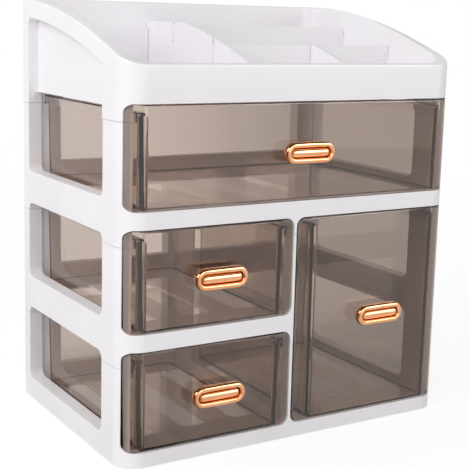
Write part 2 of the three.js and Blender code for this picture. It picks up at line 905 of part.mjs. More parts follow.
// The box between its gaps, on a loft that runs on through the plate
function boxBounds({ bay: [x0, x1], gaps: [left, right] }) {
  return [x0 + left, x1 - right, boxFrontY - boxRun, boxRearY];
}

// The handle sits in the middle of the box
function handlePlace(drawer) {
  const [x0, x1] = boxBounds(drawer);
  return [(x0 + x1) / 2, drawer.height / 2];
}

function screwPlaces(drawer) {
  const [x, z] = handlePlace(drawer);
  return [-1, 1].map((side) => [x + (side * screwSpacing) / 2, z]);
}

// A round bar along Y, for the screws' holes
function holeAlongY([x, z], y0, y1) {
  const radius = shankRadius + screwHoleClearance;
  const geometry = new THREE.CylinderGeometry(radius, radius, y1 - y0, screwSides);
  geometry.translate(x, (y0 + y1) / 2, z);
  return solidOf(geometry);
}

function screwHoles(drawer, y0, y1) {
  return screwPlaces(drawer).map((place) => holeAlongY(place, y0, y1));
}

function boxRing(drawer, sides, z, radiusChange) {
  const bounds = inset(boxBounds(drawer), sides, sides, sides);
  const radius = boxRadius + radiusChange;
  return ring(bounds, [radius, radius], [boxCornerSteps, 1], () => z);
}

// The ground behind the plates, round whose bend the front ends of the boxes follow them
function groundBehindPlates(z0, z1) {
  const radius = frontRadius - boxFrontY;
  const shape = roundedOutline(boxFrontY, width - boxFrontY, boxFrontY, depth, radius, rearRadius);
  return uprightPrism(shape, z0, z1, cornerSteps);
}

// A round-topped bead that stiffens the front end of each side wall, behind the plate
function frontBeads(drawer, z0, z1) {
  const [left, right] = boxBounds(drawer);
  const starts = [left + beadInset, right - beadInset - beadWidth];
  return starts.map((x0) => {
    const x1 = x0 + beadWidth;
    const y1 = boxFrontY + beadDepth;
    const plan = roundedOutline(x0, x1, boxFrontY - boxRun, y1, beadRound, beadRound);
    const face = roundedOutline(x0, x1, z0, z1, beadRound, beadRound);
    const post = uprightPrism(plan, z0, z1, smallSteps);
    return post.intersect(frontPrism(face, 0, y1 + overrun, smallSteps));
  });
}

// The box is a tub that narrows downwards, under a rim turned out and down. Its front is
// open, for the plate closes it.
function drawerBox(drawer) {
  const bottom = restGap;
  const top = drawer.height - boxTopDrop;
  const rimUnder = top - lipThickness;
  const rimFoot = top - lipHeight;
  const rimInner = lipOverhang - lipThickness;
  const floorTop = bottom + boxFloor;
  const outside = (z) => lipOverhang + boxDraft * (1 - (z - bottom) / (rimUnder - bottom));
  const inside = (z) => outside(z) + boxWall;
  const soft = boxFillet / 3;
  const floorSides = inside(floorTop);
  const tub = loft([
    boxRing(drawer, outside(bottom) + boxFillet, bottom, -boxFillet),
    boxRing(drawer, outside(bottom) + soft, bottom + soft, -soft),
    boxRing(drawer, outside(bottom + boxFillet), bottom + boxFillet, 0),
    boxRing(drawer, outside(rimUnder), rimUnder, 0),
    boxRing(drawer, lipThickness, rimUnder, rimInner),
    boxRing(drawer, lipThickness, rimFoot, rimInner),
    boxRing(drawer, 0, rimFoot, lipOverhang),
    boxRing(drawer, 0, top - lipRound, lipOverhang),
    boxRing(drawer, lipRound, top, lipOverhang - lipRound),
    boxRing(drawer, inside(rimUnder) - lipRound, top, lipRound - boxWall),
    boxRing(drawer, inside(rimUnder), top - lipRound, -boxWall),
    boxRing(drawer, inside(floorTop + boxFillet), floorTop + boxFillet, -boxWall),
    boxRing(drawer, floorSides + soft, floorTop + soft, -boxWall - soft),
    boxRing(drawer, floorSides + boxFillet, floorTop, -boxWall - boxFillet),
  ]);
  const beads = frontBeads(drawer, bottom + boxFillet, top - beadDrop);
  return joined([solidOf(tub), ...beads]).intersect(groundBehindPlates(0, drawer.height));
}

// The plate's edges in front view, a gap inside the opening
function plateSpan(drawer) {
  const [left, right] = openingSpan(drawer);
  const [wrapsLeft, wrapsRight] = drawer.wraps;
  const end = cornerInsetAt(plateRecess - plateEndGap);
  return [wrapsLeft ? end : left + plateGap, wrapsRight ? width - end : right - plateGap];
}

// A plate in plan: flush with the rails in front, and curving back round the outer corner
function plateOutline(drawer) {
  const [left, right] = plateSpan(drawer);
  const [wrapsLeft, wrapsRight] = drawer.wraps;
  const rise = frontRadius - plateRecess + plateEndGap;
  const outer = frontRadius;
  const inner = frontRadius - plateThickness;
  const outerTurn = Math.acos(rise / outer);
  const innerTurn = Math.acos(rise / inner);
  const down = -Math.PI / 2;
  const shape = new THREE.Shape();
  shape.moveTo(wrapsLeft ? frontRadius : left, 0);
  if (wrapsRight) {
    const cx = width - frontRadius;
    shape.lineTo(cx, 0);
    shape.absarc(cx, frontRadius, outer, down, down + outerTurn);
    shape.absarc(cx, frontRadius, inner, down + innerTurn, down, true);
  } else {
    shape.lineTo(right, 0);
    shape.lineTo(right, plateThickness);
  }
  if (wrapsLeft) {
    shape.lineTo(frontRadius, plateThickness);
    shape.absarc(frontRadius, frontRadius, inner, down, down - innerTurn, true);
    shape.absarc(frontRadius, frontRadius, outer, down - outerTurn, down);
  } else {
    shape.lineTo(left, plateThickness);
  }
  return shape;
}

// The plate in front view, with round corners and a bevelled front edge
function bevelledFace(drawer) {
  const [x0, x1] = plateSpan(drawer);
  const radius = openingRadius - plateGap;
  const shape = roundedOutline(x0, x1, plateGap, drawer.height - plateGap, radius, radius);
  const geometry = new THREE.ExtrudeGeometry(shape, {
    depth: plateRecess,
    bevelThickness: plateBevel,
    bevelSize: plateBevel,
    bevelOffset: -plateBevel,
    bevelSegments: bevelSteps,
    curveSegments: windowSteps,
  });
  geometry.applyMatrix4(frontBasis);
  geometry.translate(0, plateRecess + plateBevel, 0);
  return solidOf(geometry);
}

function frontPlate(drawer) {
  const slab = uprightPrism(plateOutline(drawer), 0, drawer.height, cornerSteps);
  return cut(slab.intersect(bevelledFace(drawer)), screwHoles(drawer, -overrun, boxFrontY));
}

// Handle: a pill with a rolled ring, a groove and a raised bar, on a narrower stem
function stadiumRing(halfLength, halfHeight, y) {
  const points = [];
  const reach = halfLength - halfHeight;
  for (const [side, from] of [[-1, Math.PI / 2], [1, -Math.PI / 2]]) {
    for (let step = 0; step <= stadiumSteps; step += 1) {
      const angle = from + (step / stadiumSteps) * Math.PI;
      const u = side * reach + halfHeight * Math.cos(angle);
      points.push(new THREE.Vector3(u, y, halfHeight * Math.sin(angle)));
    }
  }
  return points;
}

// Insets from the pill's edge as shares of its half height, and depths as shares of the cap
const capProfileShares = [
  [0.16, 1], [0, 0.78], [0, 0.4], [0.07, 0.12], [0.2, 0], [0.34, 0.07],
  [0.43, 0.25], [0.5, 0.27], [0.58, 0.12], [0.7, 0.02], [0.86, 0],
];

function handleSolid() {
  const capBack = capDepth - handleProud;
  const cap = capProfileShares.map(([insetShare, depthShare]) => {
    const shrink = (insetShare * handleHeight) / 2;
    const y = depthShare * capDepth - handleProud;
    return stadiumRing(handleLength / 2 - shrink, handleHeight / 2 - shrink, y);
  });
  const stem = [-restGap, capBack].map((y) => stadiumRing(stemLength / 2, stemHeight / 2, y));
  const tip = -screwBite - screwTipClearance;
  const holes = [-1, 1].map((side) => holeAlongY([(side * screwSpacing) / 2, 0], tip, 0));
  return cut(solidOf(loft([...stem, ...cap])), holes);
}

// Screw: a pan head behind the plate and a shank into the handle's stem
function screwGeometry() {
  const seat = boxFrontY;
  const crown = screwHeadHeight / 2;
  const profile = [
    [0, -screwBite],
    [shankRadius, -screwBite],
    [shankRadius, seat],
    [screwHeadRadius, seat],
    [screwHeadRadius, seat + crown],
    [screwHeadRadius - crown, seat + screwHeadHeight],
    [0, seat + screwHeadHeight],
  ];
  const points = profile.map(([radius, y]) => new THREE.Vector2(radius, y));
  return geometryOf(solidOf(new THREE.LatheGeometry(points, screwSides)));
}

// The scene: every piece is a named mesh, and each drawer has a group of its own
const organizer = new THREE.Group();
organizer.position.set(-width / 2, (handleProud - depth) / 2, 0);

function addPiece(group, name, geometry, material, [x, y, z] = [0, 0, 0]) {
  const mesh = new THREE.Mesh(geometry, material.clone());
  mesh.name = name;
  mesh.position.set(x, y, z);
  group.add(mesh);
}

function addFrame() {
  const frame = new THREE.Group();
  organizer.add(frame);
  addPiece(frame, "base_tier", geometryOf(baseTier()), whitePlastic);
  addPiece(frame, "middle_tier", geometryOf(middleTier()), whitePlastic);
  addPiece(frame, "upper_tier", geometryOf(upperTier()), whitePlastic);
  addPiece(frame, "top_tray", geometryOf(topTray()), whitePlastic);
  addPiece(frame, "tray_divider_long", geometryOf(longLeaf()), whitePlastic);
  addPiece(frame, "tray_divider_back_row", geometryOf(rowLeaf(backLeafY)), whitePlastic);
  addPiece(frame, "tray_divider_front_row", geometryOf(frontRow()), whitePlastic);
  addPiece(frame, "tray_divider_short", geometryOf(shortLeaf()), whitePlastic);
}

function addFeet() {
  const names = ["front_left", "front_right", "rear_left", "rear_right"];
  const pad = geometryOf(solidOf(disc(footRadius, 0, footProud + footRecess)));
  footPlaces.forEach(([x, y], index) => {
    addPiece(organizer, `foot_pad_${names[index]}`, pad, rubber, [x, y, 0]);
  });
}

function addDrawers() {
  const handle = geometryOf(handleSolid());
  const screw = screwGeometry();
  for (const drawer of drawers) {
    const group = new THREE.Group();
    group.position.z = drawer.level;
    organizer.add(group);
    const { name } = drawer;
    const [x, z] = handlePlace(drawer);
    addPiece(group, `${name}_box`, geometryOf(drawerBox(drawer)), smokyPlastic);
    addPiece(group, `${name}_front_plate`, geometryOf(frontPlate(drawer)), smokyPlastic);
    addPiece(group, `${name}_handle`, handle, roseGold, [x, 0, z]);
    addPiece(group, `${name}_screw_left`, screw, steel, [x - screwSpacing / 2, 0, z]);
    addPiece(group, `${name}_screw_right`, screw, steel, [x + screwSpacing / 2, 0, z]);
  }
}

addFrame();
addFeet();
addDrawers();

export default organizer;
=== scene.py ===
# A white cosmetics organizer with smoky see-through drawers and rose-gold pulls
import math
import bmesh
import bpy
from mathutils import Matrix, Vector


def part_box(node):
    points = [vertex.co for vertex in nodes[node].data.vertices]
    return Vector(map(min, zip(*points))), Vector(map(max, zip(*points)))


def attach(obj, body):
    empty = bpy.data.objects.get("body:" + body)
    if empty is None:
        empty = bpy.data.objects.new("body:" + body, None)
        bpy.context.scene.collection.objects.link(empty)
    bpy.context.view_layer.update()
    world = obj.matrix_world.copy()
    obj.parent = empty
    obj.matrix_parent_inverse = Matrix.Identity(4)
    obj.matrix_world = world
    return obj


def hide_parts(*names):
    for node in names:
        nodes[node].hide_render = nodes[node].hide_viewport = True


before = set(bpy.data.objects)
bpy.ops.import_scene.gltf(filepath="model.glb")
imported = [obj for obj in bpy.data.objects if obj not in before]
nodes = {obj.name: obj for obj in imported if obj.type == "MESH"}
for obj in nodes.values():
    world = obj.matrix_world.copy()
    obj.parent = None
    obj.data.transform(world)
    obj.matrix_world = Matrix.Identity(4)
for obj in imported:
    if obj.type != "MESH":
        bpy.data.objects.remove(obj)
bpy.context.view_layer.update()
MM = 0.001
DRAWERS = ("top_drawer", "middle_drawer", "lower_drawer", "tall_drawer")
WHITE = (1, 1, 1, 1)

# Camera, fitted to the corners and edges of the object in the photograph
CAMERA_PLACE = (-0.45907, -0.73947, 0.31554)
CAMERA_HEADING = math.radians(-31.61)
CAMERA_DIP = math.radians(9.83)
CAMERA_ROLL = math.radians(1.51)

camera = bpy.data.objects.new("camera", bpy.data.cameras.new("camera"))
bpy.context.scene.collection.objects.link(camera)
camera.data.sensor_width = 36
camera.data.lens = 83.415
camera.data.shift_x = 0.00296
camera.data.shift_y = -0.0596
camera.data.clip_start = 0.01
camera.data.clip_end = 50
camera.matrix_world = (
    Matrix.Translation(CAMERA_PLACE)
    @ Matrix.Rotation(CAMERA_HEADING, 4, "Z")
    @ Matrix.Rotation(math.pi / 2 - CAMERA_DIP, 4, "X")
    @ Matrix.Rotation(CAMERA_ROLL, 4, "Z")
)
bpy.context.scene.camera = camera
bpy.context.scene.view_settings.view_transform = "Standard"
# Light crosses up to six walls and back
bpy.context.scene.cycles.max_bounces = 24
bpy.context.scene.cycles.transmission_bounces = 20
bpy.context.scene.cycles.transparent_max_bounces = 24


# Material tools
def colour(hex_colour):
    """An sRGB hex colour as the linear colour that sockets take."""
    parts = [int(hex_colour[i : i + 2], 16) / 255 for i in (1, 3, 5)]
    return (*(c / 12.92 if c <= 0.04045 else ((c + 0.055) / 1.055) ** 2.4 for c in parts), 1)


def add(tree, kind, settings=None, links=None, stops=None, **attributes):
    """A node with its attributes, its socket values, its links from other nodes' outputs and,
    on a ramp, the hex colours of its two stops by their positions."""
    node = tree.nodes.new(kind)
    for name, value in attributes.items():
        setattr(node, name, value)
    for socket, value in (settings or {}).items():
        node.inputs[socket].default_value = value
    for socket, source in (links or {}).items():
        tree.links.new(source, node.inputs[socket])
    if stops:
        for stop, (position, hex_colour) in zip(node.color_ramp.elements, stops.items()):
            stop.position = position
            stop.color = colour(hex_colour)
    return node


def new_material(name):
    """An empty material, its tree, and the places on the object that its patterns follow."""
    material = bpy.data.materials.new(name)
    material.use_nodes = True
    tree = material.node_tree
    tree.nodes.clear()
    return material, tree, add(tree, "ShaderNodeTexCoord").outputs["Object"]


# White polystyrene, injection moulded: satin gloss, with the slow waviness of a cooled
# wall, and the fine grain of a spark-eroded mould, which breaks up its highlights
def white_moulded_polystyrene():
    material, tree, where = new_material("white_moulded_polystyrene")
    # The flow of the melt shows as clouds some 60 mm wide, a trace darker
    flow = add(tree, "ShaderNodeTexNoise",
               {"Scale": 1 / (60 * MM), "Detail": 2, "Roughness": 0.45}, {"Vector": where})
    tone = add(tree, "ShaderNodeValToRGB", links={"Fac": flow.outputs["Fac"]},
               stops={0.3: "#EFECEF", 0.7: "#F3F1F4"})
    # Rubbed and touched places are glossier, in patches some 25 mm wide
    patches = add(tree, "ShaderNodeTexNoise", {"Scale": 1 / (25 * MM), "Detail": 1},
                  {"Vector": where})
    gloss = add(tree, "ShaderNodeMapRange",
                {"From Min": 0.3, "From Max": 0.7, "To Min": 0.32, "To Max": 0.4},
                {"Value": patches.outputs["Fac"]})
    # Mould grain of 0.3 mm, drawn at 0.6 mm so that it shows, on waves 9 mm long
    grain = add(tree, "ShaderNodeTexNoise", {"Scale": 1 / (0.6 * MM), "Detail": 1},
                {"Vector": where})
    waves = add(tree, "ShaderNodeTexNoise", {"Scale": 1 / (9 * MM), "Detail": 1},
                {"Vector": where})
    fine = add(tree, "ShaderNodeBump", {"Strength": 0.05, "Distance": 0.02 * MM},
               {"Height": grain.outputs["Fac"]})
    wavy = add(tree, "ShaderNodeBump", {"Strength": 0.25, "Distance": 0.05 * MM},
               {"Height": waves.outputs["Fac"], "Normal": fine.outputs["Normal"]})
    shader = add(tree, "ShaderNodeBsdfPrincipled", {"IOR": 1.59},
                 {"Base Color": tone.outputs["Color"], "Roughness": gloss.outputs["Result"],
                  "Normal": wavy.outputs["Normal"]})
    add(tree, "ShaderNodeOutputMaterial", links={"Surface": shader.outputs["BSDF"]})
    return material


# Clear polystyrene tinted brown, injection moulded and polished: it bends and mirrors light
# as glass does, and its tint deepens with the way through, so that rims and corners go dark
def smoky_clear_polystyrene():
    material, tree, where = new_material("smoky_clear_polystyrene")
    # Fingers leave smudges some 12 mm wide, which dull the mirror a little
    smudges = add(tree, "ShaderNodeTexNoise",
                  {"Scale": 1 / (12 * MM), "Detail": 4, "Roughness": 0.6}, {"Vector": where})
    dull = add(tree, "ShaderNodeMapRange",
               {"From Min": 0.5, "From Max": 0.75, "To Min": 0.01, "To Max": 0.05},
               {"Value": smudges.outputs["Fac"]})
    # The cooled wall waves by hundredths of a millimetre over some 30 mm, so that
    # reflections swim
    waves = add(tree, "ShaderNodeTexNoise", {"Scale": 1 / (30 * MM), "Detail": 1},
                {"Vector": where})
    wavy = add(tree, "ShaderNodeBump", {"Strength": 0.5, "Distance": 0.1 * MM},
               {"Height": waves.outputs["Fac"]})
    clear = add(tree, "ShaderNodeBsdfPrincipled",
                {"Base Color": WHITE, "Transmission Weight": 1, "IOR": 1.59},
                {"Roughness": dull.outputs["Result"], "Normal": wavy.outputs["Normal"]})
    # Lamps reach what stands behind the wall
    lit = add(tree, "ShaderNodeBsdfTransparent", {"Color": (0.95, 0.95, 0.95, 1)})
    lamp = add(tree, "ShaderNodeLightPath").outputs["Is Shadow Ray"]
    wall = add(tree, "ShaderNodeMixShader",
               links={0: lamp, 1: clear.outputs[0], 2: lit.outputs[0]})
    tint = add(tree, "ShaderNodeVolumeAbsorption", {"Color": colour("#B17C39"), "Density": 120})
    add(tree, "ShaderNodeOutputMaterial",
        links={"Surface": wall.outputs[0], "Volume": tint.outputs[0]})
    return material


# Zinc pulls, electroplated in rose gold and polished: a mirror with a coppery tint,
# soft orange peel from the polish under the plating, faint smears, and a matt groove where
# the mop doesn't reach, with painted shade that darkens the groove to brown
def rose_gold_electroplate():
    material, tree, where = new_material("rose_gold_electroplate")
    # The bath leaves the tint uneven, over some 14 mm
    cloud = add(tree, "ShaderNodeTexNoise", {"Scale": 1 / (14 * MM), "Detail": 2},
                {"Vector": where})
    tone = add(tree, "ShaderNodeValToRGB", links={"Fac": cloud.outputs["Fac"]},
               stops={0.35: "#F2AE7E", 0.65: "#F7BC90"})
    # Fingers smear it, in marks some 5 mm wide
    smears = add(tree, "ShaderNodeTexNoise",
                 {"Scale": 1 / (5 * MM), "Detail": 5, "Roughness": 0.6}, {"Vector": where})
    gloss = add(tree, "ShaderNodeMapRange",
                {"From Min": 0.35, "From Max": 0.7, "To Min": 0.04, "To Max": 0.1},
                {"Value": smears.outputs["Fac"]})
    # The mesh says where the groove is. There the colour mixes to dark brown as painted shade, and
    # the gloss goes duller
    groove = add(tree, "ShaderNodeAttribute", attribute_name="groove").outputs["Fac"]
    plating_and_groove_shade = add(tree, "ShaderNodeMix", {7: colour("#5E3420")},
                  {0: groove, 6: tone.outputs["Color"]}, data_type="RGBA").outputs[2]
    polish = add(tree, "ShaderNodeMath", {1: 0.25}, {0: groove, 2: gloss.outputs["Result"]},
                 operation="MULTIPLY_ADD").outputs[0]
    # Orange peel has dimples 1.5 mm wide and some microns deep
    peel = add(tree, "ShaderNodeTexNoise", {"Scale": 1 / (1.5 * MM), "Detail": 1},
               {"Vector": where})
    bump = add(tree, "ShaderNodeBump", {"Strength": 0.12, "Distance": 0.02 * MM},
               {"Height": peel.outputs["Fac"]})
    shader = add(tree, "ShaderNodeBsdfPrincipled", {"Metallic": 1},
                 {"Base Color": plating_and_groove_shade, "Roughness": polish, "Normal": bump.outputs["Normal"]})
    add(tree, "ShaderNodeOutputMaterial", links={"Surface": shader.outputs["BSDF"]})
    return material


# Zinc-plated steel screws: bluish grey with a faint yellow bloom from the passivation
def zinc_plated_steel():
    material, tree, where = new_material("zinc_plated_steel")
    # The bloom comes in spots some 2 mm wide, which are duller
    bloom = add(tree, "ShaderNodeTexNoise", {"Scale": 1 / (2 * MM), "Detail": 3},
                {"Vector": where})
    tone = add(tree, "ShaderNodeValToRGB", links={"Fac": bloom.outputs["Fac"]},
               stops={0.4: "#BFC4C8", 0.65: "#CBC8B8"})
    gloss = add(tree, "ShaderNodeMapRange", {"To Min": 0.28, "To Max": 0.45},
                {"Value": bloom.outputs["Fac"]})
    shader = add(tree, "ShaderNodeBsdfPrincipled", {"Metallic": 1},
                 {"Base Color": tone.outputs["Color"], "Roughness": gloss.outputs["Result"]})
    add(tree, "ShaderNodeOutputMaterial", links={"Surface": shader.outputs["BSDF"]})
    return material


# Thermoplastic rubber feet, moulded: matt, pale grey, and darker down in the pores
def moulded_rubber():
    material, tree, where = new_material("moulded_rubber")
    # Pores are finer than the render shows, so they are drawn 0.8 mm wide
    pores = add(tree, "ShaderNodeTexNoise", {"Scale": 1 / (0.8 * MM), "Detail": 3},
                {"Vector": where})
    tone = add(tree, "ShaderNodeValToRGB", links={"Fac": pores.outputs["Fac"]},
               stops={0: "#C9C9C8", 1: "#DEDEDD"})
    rough = add(tree, "ShaderNodeMapRange", {"To Min": 0.7, "To Max": 0.9},
                {"Value": pores.outputs["Fac"]})
    bump = add(tree, "ShaderNodeBump", {"Strength": 0.3, "Distance": 0.05 * MM},
               {"Height": pores.outputs["Fac"]})
    shader = add(tree, "ShaderNodeBsdfPrincipled", {"IOR": 1.52},
                 {"Base Color": tone.outputs["Color"], "Roughness": rough.outputs["Result"],
                  "Normal": bump.outputs["Normal"]})
    add(tree, "ShaderNodeOutputMaterial", links={"Surface": shader.outputs["BSDF"]})
    return material


# Finish of the moulded solids
CREASE = math.radians(38)


def smooth_shading():
    """Rounds are shaded smooth, and edges sharper than the crease angle stay crisp."""
    tree = bpy.data.node_groups.new("smooth_shading", "GeometryNodeTree")
    tree.interface.new_socket("Geometry", in_out="INPUT", socket_type="NodeSocketGeometry")
    tree.interface.new_socket("Geometry", in_out="OUTPUT", socket_type="NodeSocketGeometry")
    start = add(tree, "NodeGroupInput")
    faces = add(tree, "GeometryNodeSetShadeSmooth", links={0: start.outputs[0]}, domain="FACE")
    angle = add(tree, "GeometryNodeInputMeshEdgeAngle")
    soft = add(tree, "FunctionNodeCompare", {1: CREASE}, {0: angle.outputs[0]},
               data_type="FLOAT", operation="LESS_THAN")
    edges = add(tree, "GeometryNodeSetShadeSmooth",
                links={0: faces.outputs[0], 2: soft.outputs[0]}, domain="EDGE")
    add(tree, "NodeGroupOutput", links={0: edges.outputs[0]})
    return tree


smooth = smooth_shading()


def finish_moulding(node, material):
    """A CAD node gets its material and smooth rounds."""
    piece = nodes[node]
    piece.data.materials.clear()
    piece.data.materials.append(material)
    # Its mesh is loose triangles, which have to meet before they can be smooth
    weld = piece.modifiers.new("weld", "WELD")
    weld.merge_threshold = 0.005 * MM
    shade = piece.modifiers.new("smooth", "NODES")
    shade.node_group = smooth
    # Large flats keep their own normals, so that clear walls don't bend the view like lenses
    flats = piece.modifiers.new("true_flats", "WEIGHTED_NORMAL")
    flats.keep_sharp = True
    flats.weight = 100


white = white_moulded_polystyrene()
for part in ("base_tier", "middle_tier", "upper_tier", "top_tray", "tray_divider_long",
             "tray_divider_back_row", "tray_divider_front_row", "tray_divider_short"):
    finish_moulding(part, white)

smoky = smoky_clear_polystyrene()
for drawer in DRAWERS:
    finish_moulding(f"{drawer}_box", smoky)
    finish_moulding(f"{drawer}_front_plate", smoky)

rubber = moulded_rubber()
for corner in ("front_left", "front_right", "rear_left", "rear_right"):
    finish_moulding(f"foot_pad_{corner}", rubber)


def finish_piece(name, bm, material, drawer, replaced):
    """A modelled piece becomes an object that rides on its drawer and stands for its solid."""
    bmesh.ops.remove_doubles(bm, verts=bm.verts, dist=0.002 * MM)
    bmesh.ops.recalc_face_normals(bm, faces=bm.faces)
    for face in bm.faces:
        face.smooth = True
    mesh = bpy.data.meshes.new(name)
    bm.to_mesh(mesh)
    bm.free()
    mesh.materials.append(material)
    piece = bpy.data.objects.new(name, mesh)
    bpy.context.scene.collection.objects.link(piece)
    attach(piece, drawer)
    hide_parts(replaced)
    return piece


# Pulls: a section in mm, out from the pill's middle line and back from its face, runs over the
# bar, the groove, the ring and the stem behind them, and Subdivision rounds it
GROOVE_DEPTH = 2.4
STEM_RADIUS = 4.3
PULL_SECTION = (
    (0, 0), (1.2, 0.2), (2.2, 0.68), (3.0, 1.35), (3.35, GROOVE_DEPTH), (3.7, GROOVE_DEPTH),
    (3.95, 1.1), (4.5, 0.3), (5.5, 0), (6.7, 0.15), (7.7, 0.9), (8.15, 1.9), (8.2, 4.4),
    (7.9, 5.2), (7.2, 5.55), (6.6, 5.6), (4.8, 5.6), (4.4, 5.7), (STEM_RADIUS, 6.1),
    (STEM_RADIUS, 10.3), (4.2, 10.65), (3.9, 10.7), (0, 10.7),
)
PULL_HALF_HEIGHT = max(out for out, back in PULL_SECTION)
# The stem is shorter than the bar. It is what lies this far back and this near the middle line
STEM_LENGTH = 26
STEM_FROM = 5.58
STEM_BAND = 5
ROUND_STEPS = 10


def pill_pull(drawer, material):
    low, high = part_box(f"{drawer}_handle")
    middle = (low + high) / 2
    straight = (high.x - low.x) / 2 - PULL_HALF_HEIGHT * MM
    bm = bmesh.new()
    groove = bm.verts.layers.float.new("groove")
    section = [bm.verts.new((straight, low.y + back * MM, out * MM)) for out, back in PULL_SECTION]
    # Corners at the groove's depth are marked, and the material paints shade there
    for corner, (out, back) in zip(section, PULL_SECTION):
        corner[groove] = 1 if back == GROOVE_DEPTH else 0
    line = [bm.edges.new(pair) for pair in zip(section, section[1:])]
    # Round one end, along the straight, and the same back again
    for side in (1, -1):
        swept = bmesh.ops.spin(bm, geom=line, cent=(side * straight, 0, 0), axis=(0, 1, 0),
                               angle=math.pi, steps=ROUND_STEPS)["geom_last"]
        end = [e for e in swept if isinstance(e, bmesh.types.BMEdge)]
        run = bmesh.ops.extrude_edge_only(bm, edges=end)["geom"]
        moved = [v for v in run if isinstance(v, bmesh.types.BMVert)]
        bmesh.ops.translate(bm, verts=moved, vec=(-side * 2 * straight, 0, 0))
        line = [e for e in run if isinstance(e, bmesh.types.BMEdge)
                and all(v in moved for v in e.verts)]
    stem = [v for v in bm.verts
            if v.co.y > low.y + STEM_FROM * MM and abs(v.co.z) < STEM_BAND * MM]
    squeeze = STEM_LENGTH / 2 * MM / (straight + STEM_RADIUS * MM)
    bmesh.ops.scale(bm, verts=stem, vec=(squeeze, 1, 1))
    bmesh.ops.translate(bm, verts=bm.verts, vec=(middle.x, 0, middle.z))
    piece = finish_piece(f"{drawer}_pull", bm, material, drawer,
                         f"{drawer}_handle")
    rounds = piece.modifiers.new("rounds", "SUBSURF")
    rounds.levels = rounds.render_levels = 2


rose_gold = rose_gold_electroplate()
for drawer in DRAWERS:
    pill_pull(drawer, rose_gold)

# Pan head screws in mm: M3 with a cross recess and a rolled thread, seated on the plate's back.
# The head takes up the first HEAD_ROOM of the solid, and what is left of it is the shank
CROWN_RADIUS = 2
CROWN_HEIGHT = 1.85
HEAD_RADIUS = 3
HEAD_SECTION = ((HEAD_RADIUS, 0), (HEAD_RADIUS, 0.5), (2.85, 1.0), (2.5, 1.5),
                (CROWN_RADIUS, CROWN_HEIGHT))
HEAD_ROOM = 2
RECESS_HALF_WIDTH = 0.42
RECESS_REACH = 1.45
RECESS_DEPTH = 1.2
RECESS_TAPER = 0.7
NECK_RADIUS = 1.2
NECK_LENGTH = 0.6
CREST_RADIUS = 1.4
CORE_RADIUS = 1.15
TIP_RADIUS = 0.9
TIP_LENGTH = 0.4
THREAD_PITCH = 0.5
HEAD_STEPS = 24
SHANK_STEPS = 16


def turned(bm, points, steps):
    """A section of (radius, along) points in mm, spun about the Y axis."""
    corners = [bm.verts.new((radius * MM, along * MM, 0)) for radius, along in points]
    line = [bm.edges.new(pair) for pair in zip(corners, corners[1:])]
    bmesh.ops.spin(bm, geom=corners + line, cent=(0, 0, 0), axis=(0, 1, 0),
                   angle=2 * math.pi, steps=steps, use_merge=True)


def in_cross(face):
    """Whether a face of the crown lies in one of the recess's arms."""
    centre = face.calc_center_median()
    across, along = sorted((abs(centre.x) / MM, abs(centre.z) / MM))
    return across < RECESS_HALF_WIDTH and along < RECESS_REACH


def pan_screw(drawer, side, material):
    node = f"{drawer}_screw_{side}"
    low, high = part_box(node)
    bm = bmesh.new()
    # The crown is a disc cut along the cross, whose arms are then sunk
    bmesh.ops.create_circle(bm, cap_ends=True, radius=CROWN_RADIUS * MM, segments=HEAD_STEPS,
                            matrix=Matrix.Rotation(math.radians(-90), 4, "X"))
    for axis in ((1, 0, 0), (0, 0, 1)):
        for at in (-RECESS_REACH, -RECESS_HALF_WIDTH, RECESS_HALF_WIDTH, RECESS_REACH):
            bmesh.ops.bisect_plane(bm, geom=bm.verts[:] + bm.edges[:] + bm.faces[:],
                                   plane_co=Vector(axis) * at * MM, plane_no=axis)
    arms = [face for face in bm.faces if in_cross(face)]
    sunk = bmesh.ops.extrude_face_region(bm, geom=arms)["geom"]
    bmesh.ops.delete(bm, geom=arms, context="FACES")
    sunk = [v for v in sunk if isinstance(v, bmesh.types.BMVert)]
    bmesh.ops.translate(bm, verts=sunk, vec=(0, -RECESS_DEPTH * MM, 0))
    bmesh.ops.scale(bm, verts=sunk, vec=(RECESS_TAPER, 1, RECESS_TAPER))
    bmesh.ops.translate(bm, verts=bm.verts, vec=(0, CROWN_HEIGHT * MM, 0))
    turned(bm, HEAD_SECTION, HEAD_STEPS)
    # Under the head the shank runs to the solid's tip, with the thread as ridges
    bite = (high.y - low.y) / MM - HEAD_ROOM
    shank = [(HEAD_RADIUS, 0), (NECK_RADIUS, 0), (NECK_RADIUS, -NECK_LENGTH)]
    for ridge in range(int((bite - NECK_LENGTH - TIP_LENGTH) / THREAD_PITCH)):
        back = -NECK_LENGTH - ridge * THREAD_PITCH
        shank += [(CREST_RADIUS, back - THREAD_PITCH / 2), (CORE_RADIUS, back - THREAD_PITCH)]
    shank += [(TIP_RADIUS, -bite), (0, -bite)]
    turned(bm, shank, SHANK_STEPS)
    seat = Vector(((low.x + high.x) / 2, high.y - HEAD_ROOM * MM, (low.z + high.z) / 2))
    bmesh.ops.translate(bm, verts=bm.verts, vec=seat)
    screw = finish_piece(f"{drawer}_pan_screw_{side}", bm, material, drawer, node)
    shade = screw.modifiers.new("smooth", "NODES")
    shade.node_group = smooth


steel = zinc_plated_steel()
for drawer in DRAWERS:
    for side in ("left", "right"):
        pan_screw(drawer, side, steel)

# Studio: a white floor that keeps the soft shadow, and a white surround. Its sides are level
# directions, seen from the object
AWAY_FROM_KEY = (0.92, -0.39, 0)
LEFT = (-0.9, 0.43, 0)
CAMERA_SIDE = (-0.95, -0.31, 0)
BEHIND = (0.6, 0.8, 0)
LEFT_REAR = (-0.6, 0.8, 0)
INSIDE_TINT = (0.9, 1.07, 1.16, 1)
PULL_HEIGHT = 0.2
FLOOR_HALF_WIDTH = 4


